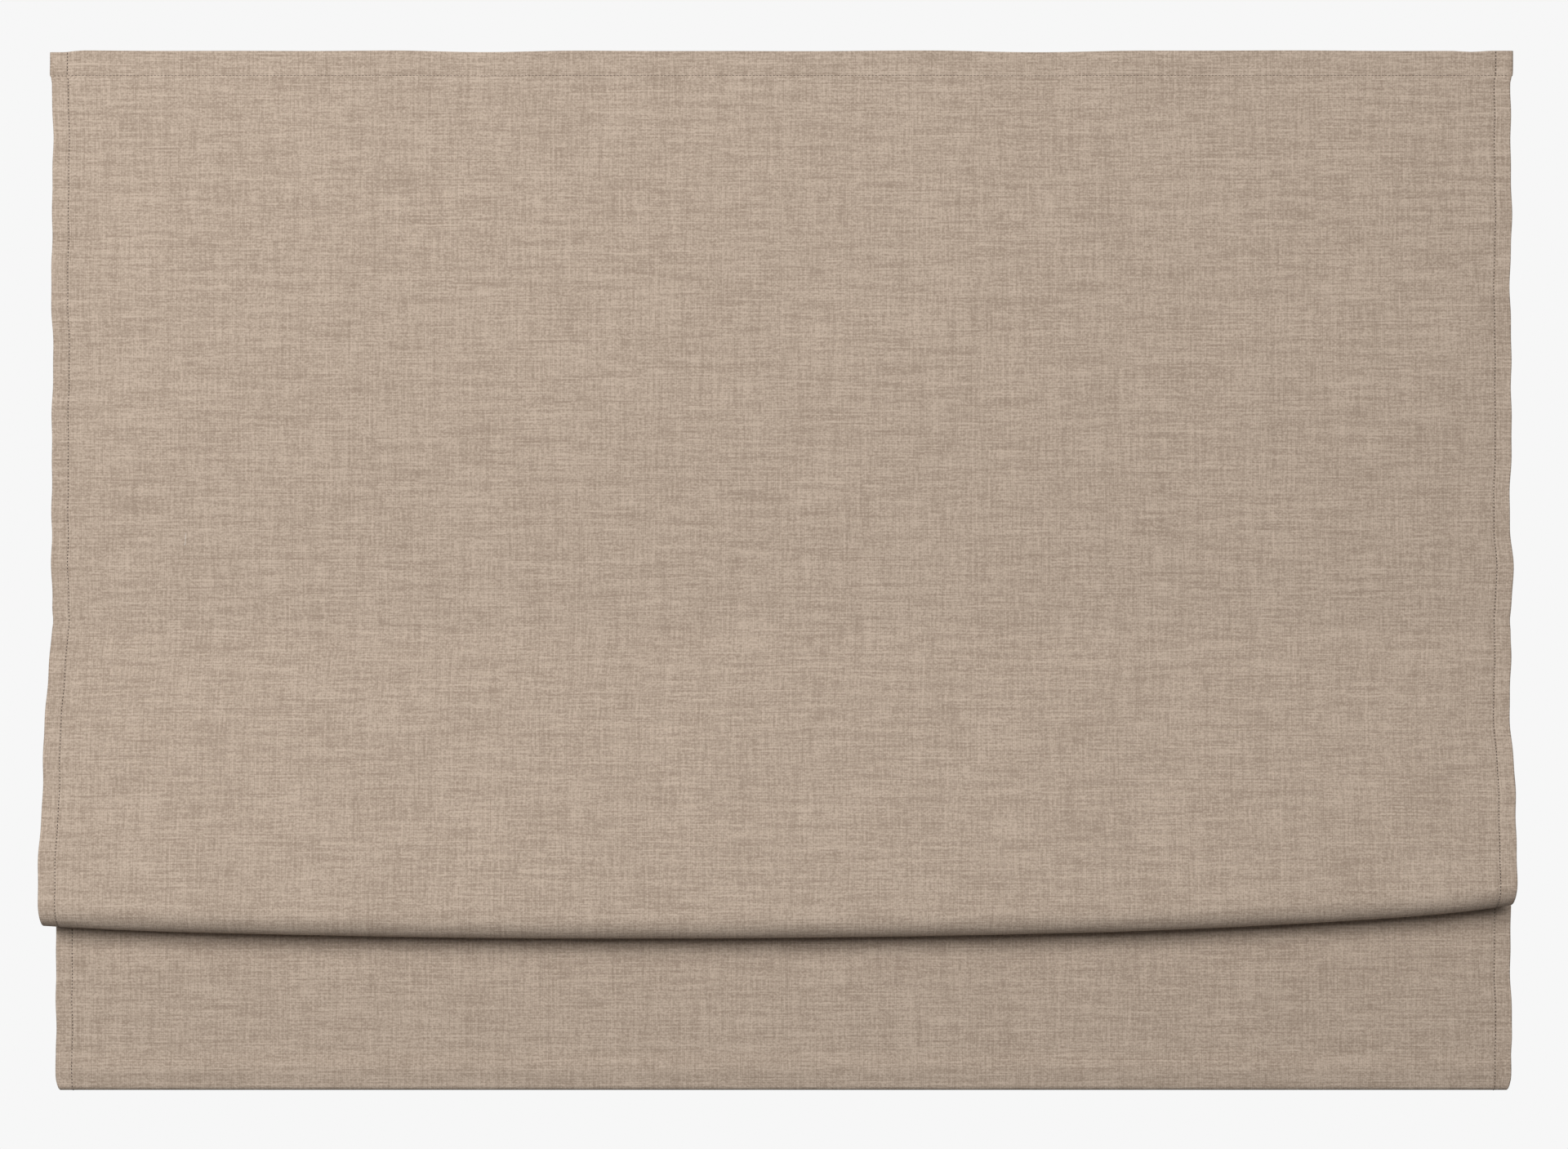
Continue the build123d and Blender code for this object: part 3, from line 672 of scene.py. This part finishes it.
def cloth_piece(name, first, last):
    """A closed slab of cloth between two rows, with both faces, hems and rounded side edges."""
    x = stations_across()
    n = len(x)
    row = np.arange(first, last + 1)[:, None]
    face, face_map = cloth_points(x[None, :], row, -CLOTH / 2)
    rear_offset = back_offset(x[None, :], row)
    rear, rear_map = cloth_points(x[None, :], row, rear_offset)
    rims = []
    for column, outward in ((n - 1, 1), (0, -1)):
        near, far = face[:, column], rear[:, column]
        for k in range(1, RIM + 1):
            t = k / (RIM + 1)
            point = near * (1 - t) + far * t
            point[:, 0] += outward * math.sin(math.pi * t) * np.linalg.norm(far - near, axis=1) / 2
            rims.append(point)
    right, left = np.stack(rims[:RIM], 1), np.stack(rims[:RIM - 1:-1], 1)
    ring = np.concatenate([face, right, rear[:, ::-1], left], 1)
    edge_map = [face_map[:, -1:].repeat(RIM, 1), face_map[:, :1].repeat(RIM, 1)]
    ring_map = np.concatenate([face_map, edge_map[0], rear_map[:, ::-1], edge_map[1]], 1)
    count, size = ring.shape[:2]
    faces = []
    for i in range(count - 1):
        for j in range(size):
            k = (j + 1) % size
            faces.append((i * size + j, (i + 1) * size + j, (i + 1) * size + k, i * size + k))
    flat = []
    for i, way in ((0, 1), (count - 1, -1)):
        base = i * size
        opposite = [base + 2 * n + RIM - 1 - j for j in range(n)]
        for j in range(n - 1):
            quad = (base + j, base + j + 1, opposite[j + 1], opposite[j])
            flat.append(len(faces))
            faces.append(quad[::way])
        for side in (
            [base + n - 1 + k for k in range(RIM + 2)],
            [base, *[base + size - 1 - k for k in range(RIM)], opposite[0]][::-1],
        ):
            flat.append(len(faces))
            faces.append(tuple(side[::way]))
    obj = new_object(name, ring.reshape(-1, 3), faces, "slub_linen", flat)
    at_end = {0: first > 0, count - 1: last < LAST_ROW}
    sharp = obj.data.attributes.new("sharp_edge", "BOOLEAN", "EDGE")
    for edge in obj.data.edges:
        i, j = (v // size for v in edge.vertices)
        sharp.data[edge.index].value = i == j and at_end.get(i, False)
    places = ring_map.reshape(-1, 2)
    layer = obj.data.uv_layers.new(name=CLOTH_MAP)
    corner = np.zeros(len(obj.data.loops), int)
    obj.data.loops.foreach_get("vertex_index", corner)
    layer.data.foreach_set("uv", places[corner].astype(np.float32).ravel())
    return obj


# ---- the body that each piece of cloth hangs from, where it has one ------------
UNDER_RAIL = rail_bottom - 2 * MM


def follow_header(obj):
    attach(obj, "rail")


def follow_drop(obj):
    """Hang from the rail, with a mesh of its own."""
    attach(obj, "rail")
    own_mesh(obj)


def follow_fold(obj):
    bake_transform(obj)


def follow_back(obj):
    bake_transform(obj)


def follow_panel(obj):
    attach(obj, "lower_rod")


SECTIONS = [
    ("cloth_header", 0, HEADER_ROW, follow_header),
    ("cloth_top", HEADER_ROW, ROD_ROW, follow_drop),
    ("cloth_fold_front", ROD_ROW, WAIST_ROW, follow_fold),
    ("cloth_fold_back", WAIST_ROW, CREASE_ROW, follow_back),
    ("cloth_bottom_panel", CREASE_ROW, LAST_ROW, follow_panel),
]


# ---- threads -------------------------------------------------------------------
THREAD_SIDES = 5
# each ring's place along the stitch and its girth, as shares
THREAD_RINGS = ((-0.5, 0.2), (-0.36, 0.85), (0.0, 1.0), (0.36, 0.85), (0.5, 0.2))


def row_at(a):
    """The row at a place along the cloth, as a number that needn't be whole."""
    return np.interp(a, along, np.arange(len(along)))


def stitches(name, starts, across, radius, offset_of):
    """A row of stitches from where each one's middle is; across is True for a row along X."""
    points, faces = [], []
    for x, a in starts:
        middle = []
        for t, _ in THREAD_RINGS:
            dx, da = (t * STITCH_LENGTH, 0) if across else (0, t * STITCH_LENGTH)
            middle.append((x + dx, a + da))
        middle = np.array(middle)
        rise = np.array([STITCH_ARCH * math.cos(math.pi * t) for t, _ in THREAD_RINGS]) * radius
        row = row_at(middle[:, 1])
        base, _ = cloth_points(middle[:, 0], row, offset_of(middle[:, 0], row))
        step, _ = cloth_points(middle[:, 0], row, offset_of(middle[:, 0], row) * 1.01)
        outward = step - base
        outward /= np.linalg.norm(outward, axis=1)[:, None]
        forward = base[-1] - base[0]
        forward /= np.linalg.norm(forward)
        sideways = np.cross(forward, outward)
        first = len(points)
        for k, (_, girth) in enumerate(THREAD_RINGS):
            for v in range(THREAD_SIDES):
                angle = 2 * math.pi * v / THREAD_SIDES
                reach = radius * girth
                spoke = outward[k] * math.sin(angle) + sideways[k] * math.cos(angle)
                points.append(base[k] + outward[k] * rise[k] + spoke * reach)
        for k in range(len(THREAD_RINGS) - 1):
            for v in range(THREAD_SIDES):
                w = (v + 1) % THREAD_SIDES
                lower, upper = first + k * THREAD_SIDES, first + (k + 1) * THREAD_SIDES
                faces.append((lower + v, lower + w, upper + w, upper + v))
        faces.append(tuple(first + v for v in reversed(range(THREAD_SIDES))))
        last = first + (len(THREAD_RINGS) - 1) * THREAD_SIDES
        faces.append(tuple(last + v for v in range(THREAD_SIDES)))
    return new_object(name, points, faces, "brown_thread")


def on_face(x, row):
    return np.full(np.shape(x), -CLOTH / 2)


def on_rear(x, row):
    return back_offset(x, np.round(row).astype(int))


def hem_stitches(first, last, shift):
    """Middles of both side hems' stitches between two rows."""
    start, end = along[first] + STITCH_PITCH * (0.5 + shift), min(along[last], along[POCKET_BACK])
    places = np.arange(start, end - STITCH_PITCH / 2, STITCH_PITCH)
    inset = half_width - STITCH_INSET
    return [(side * inset, a) for side in (-1, 1) for a in places]


def header_stitches():
    """Middles of the header seam's stitches, from one side edge to the other."""
    places = np.arange(-half_width + SEAM_INSET, half_width - SEAM_INSET, STITCH_PITCH)
    return [(x, HEADER_TURN) for x in places]


for name, first, last, follow in SECTIONS:
    piece = cloth_piece(name, first, last)
    threads = []
    for side, shift, offset_of in (("face", 0, on_face), ("rear", 0.5, on_rear)):
        places = hem_stitches(first, last, shift)
        thread = f"{name}_hem_thread_{side}"
        threads.append(stitches(thread, places, False, HEM_THREAD, offset_of))
    if first == 0:
        places = header_stitches()
        threads.append(stitches("header_thread_face", places, True, HEADER_THREAD, on_face))
    for obj in [piece, *threads]:
        follow(obj)
    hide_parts("fabric_panel")


# ---- lift cords ----------------------------------------------------------------
WELD = 0.001 * MM             # points this close in the CAD's mesh are one


def cut_copy(node, name, low, high):
    """The part of a CAD node's shape between two heights, closed where it is cut."""
    mesh = frame["nodes"][node].data.copy()
    build = bmesh.new()
    build.from_mesh(mesh)
    bmesh.ops.remove_doubles(build, verts=build.verts, dist=WELD)
    for height, up in ((low, -1), (high, 1)):
        if height is None:
            continue
        parts = build.verts[:] + build.edges[:] + build.faces[:]
        bmesh.ops.bisect_plane(
            build, geom=parts, plane_co=(0, 0, height), plane_no=(0, 0, up), clear_outer=True
        )
        bmesh.ops.holes_fill(build, edges=[e for e in build.edges if e.is_boundary])
    build.to_mesh(mesh)
    build.free()
    mesh.name = name
    obj = bpy.data.objects.new(name, mesh)
    bpy.context.collection.objects.link(obj)
    wear(obj, "white_cord")
    return obj


for side in ("left", "middle", "right"):
    node = f"lift_cord_{side}"
    wound = cut_copy(node, f"{node}_wound", UNDER_RAIL, None)
    upper = cut_copy(node, f"{node}_upper", rod_top_z, UNDER_RAIL)
    lower = cut_copy(node, f"{node}_lower", None, rod_top_z)
    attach(wound, "rail")
    follow_drop(upper)
    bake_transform(lower)
    for obj in (wound, upper, lower):
        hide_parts(node)

# ---- the stray fibre on the cloth ----------------------------------------------
FIBRE_X, FIBRE_TOP, FIBRE_LENGTH = -491 * MM, 397 * MM, 10 * MM
FIBRE_RADIUS = 0.13 * MM


def stray_fibre():
    curve = bpy.data.curves.new("stray_fibre", "CURVE")
    curve.dimensions, curve.bevel_depth, curve.bevel_resolution = "3D", FIBRE_RADIUS, 2
    bends = [(0.4, 0), (0.15, 0.3), (0.0, 0.6), (-0.1, 0.85), (-0.55, 1.02), (-0.9, 0.93)]
    spline = curve.splines.new("NURBS")
    spline.points.add(len(bends) - 1)
    for point, (dx, part) in zip(spline.points, bends):
        place = (FIBRE_X + dx * MM, row_at(FIBRE_TOP + part * FIBRE_LENGTH))
        spot, _ = cloth_points(*place, -CLOTH / 2 - FIBRE_RADIUS)
        point.co = (*spot, 1)
    spline.order_u, spline.use_endpoint_u = 3, True
    drawn = bpy.data.objects.new("stray_fibre_curve", curve)
    bpy.context.collection.objects.link(drawn)
    bpy.context.view_layer.update()
    mesh = bpy.data.meshes.new_from_object(drawn)
    bpy.data.objects.remove(drawn)
    obj = bpy.data.objects.new("stray_fibre", mesh)
    bpy.context.collection.objects.link(obj)
    wear(obj, "white_fibre")
    follow_drop(obj)


stray_fibre()


# ---- floor ---------------------------------------------------------------------
FLOOR_DROP = 0.45             # below the blind's bottom edge
FLOOR_RADIUS = 2.6
FLOOR_BEHIND = 1.4            # how far it reaches behind the cloth


def make_floor():
    s = Shader("floor", Roughness=0.8)
    place = s.node("TexCoord", out=3)
    cloud = s.noise(s.scaled(place, (3, 3, 3)), 3.0)
    s.finish(s.tint((0.84, 0.84, 0.84), (0.88, 0.88, 0.88), cloud))
    build = bmesh.new()
    bmesh.ops.create_circle(build, cap_ends=True, segments=96, radius=FLOOR_RADIUS)
    mesh = bpy.data.meshes.new("floor")
    build.to_mesh(mesh)
    build.free()
    floor = bpy.data.objects.new("floor", mesh)
    bpy.context.collection.objects.link(floor)
    floor.location = (0, cloth_middle + FLOOR_BEHIND - FLOOR_RADIUS, fabric_low.z - FLOOR_DROP)
    floor.data.materials.append(s.material)
    floor.visible_diffuse = False


make_floor()
